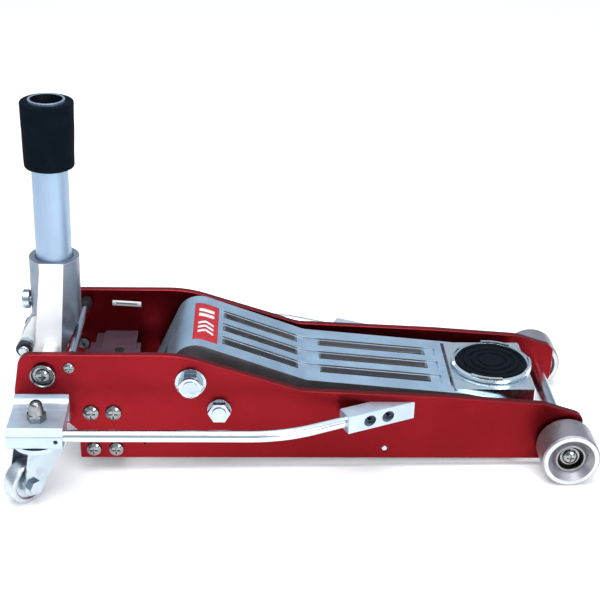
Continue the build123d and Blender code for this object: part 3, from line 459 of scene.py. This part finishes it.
def welded():
    """Geometry nodes that join a CAD mesh's facets and make its edges sharp by angle."""
    tree = bpy.data.node_groups.new("welded", "GeometryNodeTree")
    for way in ("INPUT", "OUTPUT"):
        tree.interface.new_socket("Geometry", in_out=way, socket_type="NodeSocketGeometry")
    start, stop = tree.nodes.new("NodeGroupInput"), tree.nodes.new("NodeGroupOutput")
    strip_normals = tree.nodes.new("GeometryNodeRemoveAttribute")
    strip_normals.inputs["Name"].default_value = "custom_normal"
    merge = tree.nodes.new("GeometryNodeMergeByDistance")
    merge.inputs["Distance"].default_value = WELD
    angle = tree.nodes.new("GeometryNodeInputMeshEdgeAngle")
    sharp = tree.nodes.new("FunctionNodeCompare")
    sharp.inputs["B"].default_value = EDGE_ANGLE
    shade = tree.nodes.new("GeometryNodeSetShadeSmooth")
    shade.domain = "EDGE"
    shade.inputs["Shade Smooth"].default_value = False
    tree.links.new(start.outputs[0], strip_normals.inputs["Geometry"])
    tree.links.new(strip_normals.outputs["Geometry"], merge.inputs["Geometry"])
    tree.links.new(merge.outputs["Geometry"], shade.inputs["Geometry"])
    tree.links.new(angle.outputs["Unsigned Angle"], sharp.inputs["A"])
    tree.links.new(sharp.outputs["Result"], shade.inputs["Selection"])
    tree.links.new(shade.outputs["Geometry"], stop.inputs[0])
    return tree


def dress_cad_parts():
    """Gives every CAD part its slot's material, and rounds the sharp edges that catch the light."""
    clean = welded()
    for name, part in frame["nodes"].items():
        part.data.materials.clear()
        part.data.materials.append(OWN_LOOKS.get(name, MATERIALS[SLOT_OF[name]]))
        part.modifiers.new("welded", "NODES").node_group = clean
        flat = part.modifiers.new("flat", "DECIMATE")
        flat.decimate_type = "DISSOLVE"
        flat.angle_limit = FLAT_ANGLE
        bevel = part.modifiers.new("edges", "BEVEL")
        bevel.width = EDGE_WIDTH
        bevel.segments = EDGE_SEGMENTS
        bevel.limit_method = "ANGLE"
        bevel.angle_limit = EDGE_ANGLE
        bevel.harden_normals = True


# ---------------------------------------------------------------- mesh helpers
def new_piece(name, build, body, material):
    """A mesh piece filled by build(bmesh), riding on a CAD body, with the given material."""
    mesh = bpy.data.meshes.new(name)
    work = bmesh.new()
    build(work)
    bmesh.ops.recalc_face_normals(work, faces=work.faces)
    work.to_mesh(mesh)
    work.free()
    mesh.shade_smooth()
    mesh.materials.append(material)
    piece = bpy.data.objects.new(name, mesh)
    bpy.context.scene.collection.objects.link(piece)
    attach(piece, body)
    return piece


def rounded(corners, radius, steps=4):
    """A closed loop of 2-D points with each corner rounded."""
    points = []
    for index, corner in enumerate(corners):
        corner = Vector(corner)
        before, after = Vector(corners[index - 1]), Vector(corners[(index + 1) % len(corners)])
        cut = min(radius, (before - corner).length / 2, (after - corner).length / 2)
        start = corner + cut * (before - corner).normalized()
        end = corner + cut * (after - corner).normalized()
        for step in range(steps + 1):
            share = step / steps
            points.append(start.lerp(corner, share).lerp(corner.lerp(end, share), share))
    return points


def lathe(work, profile, centre, axis, segments, shift=None):
    """Turns a closed loop of (radius, height) points about an axis; shift(point, out) moves each of them."""
    side = axis.orthogonal().normalized()
    other = axis.cross(side)
    rings = []
    for index in range(segments):
        angle = 2 * math.pi * index / segments
        out = math.cos(angle) * side + math.sin(angle) * other
        ring = []
        for radius, height in profile:
            point = centre + radius * out + height * axis
            ring.append(work.verts.new(point + shift(point, out) if shift else point))
        rings.append(ring)
    count = len(profile)
    for index, ring in enumerate(rings):
        following = rings[(index + 1) % segments]
        for step in range(count):
            after = (step + 1) % count
            work.faces.new((ring[step], following[step], following[after], ring[after]))


# ---------------------------------------------------------------- foam grip
FOAM_LUMP, FOAM_DENT = 0.55 * MM, 1.3 * MM
LUMP_SCALE, DENT_SCALE, DENT_PLACE = 28, 46, Vector((3, 1, 7))      # features a metre; a separate noise
LUMP_TOP, DENT_START = 0.6, 0.25            # noise values: no lump stands out, only deep dents count
FOAM_CORNER, FOAM_FLARE, FOAM_SKIN, FOAM_CLEARANCE = 3.0 * MM, 2.0 * MM, 5.0 * MM, 0.05 * MM
FOAM_ROWS, FOAM_SEGMENTS, FOAM_CORNER_STEPS = 30, 96, 5


def foam_grip():
    """The handle's foam sleeve: slightly flared, lumpy and dented, with soft ends."""
    low, high, outer = reach("foam_sleeve", TUBE_TOP, HANDLE_UP)
    bore = reach("handle_tube", TUBE_TOP, HANDLE_UP)[2] + FOAM_CLEARANCE
    corners = [(bore, low), (outer - FOAM_FLARE, low), (outer, high), (bore, high)]
    loop = []
    softened = rounded(corners, FOAM_CORNER, FOAM_CORNER_STEPS)
    for index, point in enumerate(softened):
        after = softened[(index + 1) % len(softened)]
        parts = max(1, round((after - point).length / (high - low) * FOAM_ROWS))
        loop += [point.lerp(after, step / parts) for step in range(parts)]

    def lumps(point, out):
        radius = (point - TUBE_TOP).cross(HANDLE_UP).length
        free = min(1.0, max(0.0, (radius - bore) / FOAM_SKIN))
        lump = noise.noise(point * LUMP_SCALE) - LUMP_TOP
        dent = max(0.0, noise.noise(point * DENT_SCALE + DENT_PLACE) - DENT_START)
        return free * (FOAM_LUMP * lump - FOAM_DENT * dent) * out

    def build(work):
        lathe(work, loop, TUBE_TOP, HANDLE_UP, FOAM_SEGMENTS, lumps)

    grip = new_piece("foam_grip", build, "handle", MATERIALS["grip_foam"])
    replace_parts(grip, "foam_sleeve")
    return grip


# ---------------------------------------------------------------- saddle pad
PAD_GROOVES = [(43.0, 38.0), (32.0, 27.0), (21.0, 16.0)]      # outer and inner radius, millimetres
PAD_GROOVE_DEPTH, PAD_GROOVE_LEAN, PAD_CORNER = 1.8 * MM, 0.5 * MM, 0.7 * MM
PAD_HUB, PAD_DISH, PAD_CORE, PAD_CLEARANCE = 8 * MM, 0.5 * MM, 0.001 * MM, 0.02 * MM
PAD_SEGMENTS = 128


def rubber_pad():
    """The saddle's rubber pad: a flat rim, two ribs and a dished hub, all with moulded corners."""
    low, high, outer = reach("saddle_pad", PAD_TOP, UP)
    top = high - PAD_CLEARANCE
    bottom = top - PAD_GROOVE_DEPTH
    corners = [(PAD_CORE, low), (outer, low), (outer, top)]
    for wide, tight in PAD_GROOVES:
        corners += [(wide * MM, top), (wide * MM - PAD_GROOVE_LEAN, bottom),
                    (tight * MM + PAD_GROOVE_LEAN, bottom), (tight * MM, top)]
    corners += [(PAD_HUB, top - PAD_DISH), (PAD_CORE, top - PAD_DISH)]

    def build(work):
        lathe(work, rounded(corners, PAD_CORNER, 3), PAD_TOP, UP, PAD_SEGMENTS)

    pad = new_piece("rubber_pad", build, "saddle", MATERIALS["pad_rubber"])
    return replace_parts(pad, "saddle_pad")


# ---------------------------------------------------------------- labels
# Millimetres from the arm's pivot, or along the label's own sides.
LABEL_BACK, LABEL_FRONT, LABEL_NEAR, LABEL_FAR = 0.5, 33.0, -55.0, 50.0
LABEL_LIFT, MARK_LIFT, STICKER_THICK = 0.12, 0.18, 0.05
ABOVE_ARM = 200                 # where the rays that find the arm's skin start
MARK_MARGIN = 6.0
CHEVRON_SIDES, CHEVRON_LEAN, CHEVRON_WIDE = (-36.0, -24.0, -12.0), 7.0, 6.0
BAR_SIDES, BAR_WIDE = (12.0, 26.0), 9.0
DATA_FORWARD, DATA_UP, DATA_TILT = -98.8, 16.8, math.radians(-3.5)
DATA_HALF, DATA_BAR_HALF = (20.3, 4.0), (15.0, 1.2)
DATA_LIFT, DATA_BAR_LIFT = 0.1, 0.16


def on_arm(forward, side, lift):
    """The point of the arm's top skin at this place, raised by lift."""
    arm = frame["nodes"]["lift_arm"]
    start = from_arm_pivot(forward, side, ABOVE_ARM)
    hit, place, normal, _ = arm.ray_cast(start, -UP)
    if not hit:
        raise ValueError("the label lies off the arm")
    return place + lift * MM * normal


def strip(work, corners, place, columns, rows):
    """A sheet between four corners given as (forward, side), laid by place(forward, side)."""
    a, b, c, d = (Vector(corner) for corner in corners)
    grid = []
    for column in range(columns + 1):
        s = column / columns
        line = []
        for row in range(rows + 1):
            t = row / rows
            point = a.lerp(b, s).lerp(d.lerp(c, s), t)
            line.append(work.verts.new(place(*point)))
        grid.append(line)
    for column in range(columns):
        for row in range(rows):
            work.faces.new((grid[column][row], grid[column + 1][row],
                            grid[column + 1][row + 1], grid[column][row + 1]))


def sticker(name, build, body, look):
    """A label: a sheet with a little thickness under it."""
    piece = new_piece(name, build, body, look)
    backing = piece.modifiers.new("backing", "SOLIDIFY")
    backing.thickness, backing.offset = STICKER_THICK * MM, -1
    return piece


def rating_label():
    """A red label over the arm's rear nose, with plain white bars and chevrons."""
    red = printed("label_red", (0.40, 0.016, 0.024), (0.34, 0.012, 0.018))
    white = printed("label_white", (0.66, 0.67, 0.68), (0.60, 0.61, 0.62))

    def ground(work):
        corners = [(LABEL_BACK, LABEL_NEAR), (LABEL_FRONT, LABEL_NEAR),
                   (LABEL_FRONT, LABEL_FAR), (LABEL_BACK, LABEL_FAR)]
        strip(work, corners, lambda x, y: on_arm(x, y, LABEL_LIFT), 20, 24)

    def marks(work):
        def raised(x, y):
            return on_arm(x, y, MARK_LIFT)

        low, high = LABEL_BACK + MARK_MARGIN, LABEL_FRONT - MARK_MARGIN
        middle = (low + high) / 2
        for side in CHEVRON_SIDES:
            tip = side + CHEVRON_LEAN
            for x0, x1, a, b in ((low, middle, side, tip), (middle, high, tip, side)):
                corners = [(x0, a), (x1, b), (x1, b + CHEVRON_WIDE), (x0, a + CHEVRON_WIDE)]
                strip(work, corners, raised, 8, 2)
        for side in BAR_SIDES:
            corners = [(low, side), (high, side), (high, side + BAR_WIDE), (low, side + BAR_WIDE)]
            strip(work, corners, raised, 14, 2)

    sticker("rating_label", ground, "lift_arm", red)
    sticker("rating_label_marks", marks, "lift_arm", white)


def data_label():
    """A small white label on the far plate's inner face, with one plain grey bar."""
    white = printed("paper_white", (0.84, 0.84, 0.83), (0.76, 0.77, 0.78))
    grey = printed("paper_grey", (0.16, 0.18, 0.20), (0.24, 0.26, 0.28))
    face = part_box("side_plate_far")[0].y / MM
    along, up = math.cos(DATA_TILT), math.sin(DATA_TILT)

    def sheet(half_long, half_high, lift):
        def place(x, y):
            forward, height = x * along - y * up, x * up + y * along
            return from_arm_pivot(DATA_FORWARD + forward, face - lift, DATA_UP + height)

        corners = [(-half_long, -half_high), (half_long, -half_high), (half_long, half_high),
                   (-half_long, half_high)]
        return lambda work: strip(work, corners, place, 4, 2)

    sticker("data_label", sheet(*DATA_HALF, DATA_LIFT), "frame", white)
    sticker("data_label_bar", sheet(*DATA_BAR_HALF, DATA_BAR_LIFT), "frame", grey)


# ---------------------------------------------------------------- stage
def sky():
    """A studio's light from all round, brightest overhead."""
    world = bpy.data.worlds.new("studio")
    world.use_nodes = True
    bpy.context.scene.world = world
    nodes, links = world.node_tree.nodes, world.node_tree.links
    coords = nodes.new("ShaderNodeTexCoord")
    split = nodes.new("ShaderNodeSeparateXYZ")
    ramp = nodes.new("ShaderNodeValToRGB")
    elements = ramp.color_ramp.elements
    elements[0].position, elements[0].color = SKY[0][0], (*SKY[0][1], 1)
    elements[1].position, elements[1].color = SKY[-1][0], (*SKY[-1][1], 1)
    for position, color in SKY[1:-1]:
        elements.new(position).color = (*color, 1)
    links.new(coords.outputs["Generated"], split.inputs["Vector"])
    links.new(split.outputs["Z"], ramp.inputs["Fac"])
    links.new(ramp.outputs["Color"], nodes["Background"].inputs["Color"])


def floor():
    """The pale floor, just under the part."""
    mesh = bpy.data.meshes.new("floor")
    corners = [(-FLOOR_HALF, -FLOOR_HALF, 0), (FLOOR_HALF, -FLOOR_HALF, 0),
               (FLOOR_HALF, FLOOR_HALF, 0), (-FLOOR_HALF, FLOOR_HALF, 0)]
    mesh.from_pydata(corners, [], [(0, 1, 2, 3)])
    ground = bpy.data.objects.new("floor", mesh)
    ground.location.z = cad_box[0].z - FLOOR_DROP
    bpy.context.scene.collection.objects.link(ground)
    mesh.materials.append(Paint("floor", FLOOR_COLOR, 0.7, 0.0, Emission_Color=(1, 1, 1, 1),
                                Emission_Strength=FLOOR_GLOW).material)


def lamp(name, place, aim, size, watts):
    """A round area light that faces its aim."""
    data = bpy.data.lights.new(name, "AREA")
    data.shape, data.size, data.energy = "DISK", size, watts
    light = bpy.data.objects.new(name, data)
    light.location = place
    light.rotation_euler = (Vector(aim) - Vector(place)).to_track_quat("-Z", "Y").to_euler()
    bpy.context.scene.collection.objects.link(light)


def camera():
    """The camera that sees the part as the photograph does."""
    data = bpy.data.cameras.new("camera")
    data.lens, data.sensor_width = CAMERA_LENS, SENSOR
    azimuth, elevation = math.radians(CAMERA_AZIMUTH), math.radians(CAMERA_ELEVATION)
    back = Vector((math.sin(azimuth) * math.cos(elevation), -math.cos(azimuth) * math.cos(elevation),
                   math.sin(elevation)))
    view = (-back).to_track_quat("-Z", "Y").to_matrix().to_4x4()
    seen_from = bpy.data.objects.new("camera", data)
    seen_from.matrix_world = (Matrix.Translation(CAMERA_TARGET + CAMERA_DISTANCE * back) @ view
                              @ Matrix.Rotation(math.radians(CAMERA_ROLL), 4, "Z"))
    bpy.context.scene.collection.objects.link(seen_from)
    bpy.context.scene.camera = seen_from


dress_cad_parts()
foam_grip()
rubber_pad()
rating_label()
data_label()
sky()
floor()
for lamp_name, settings in LAMPS.items():
    lamp(lamp_name, *settings)
camera()
bpy.context.scene.view_settings.view_transform = "Standard"
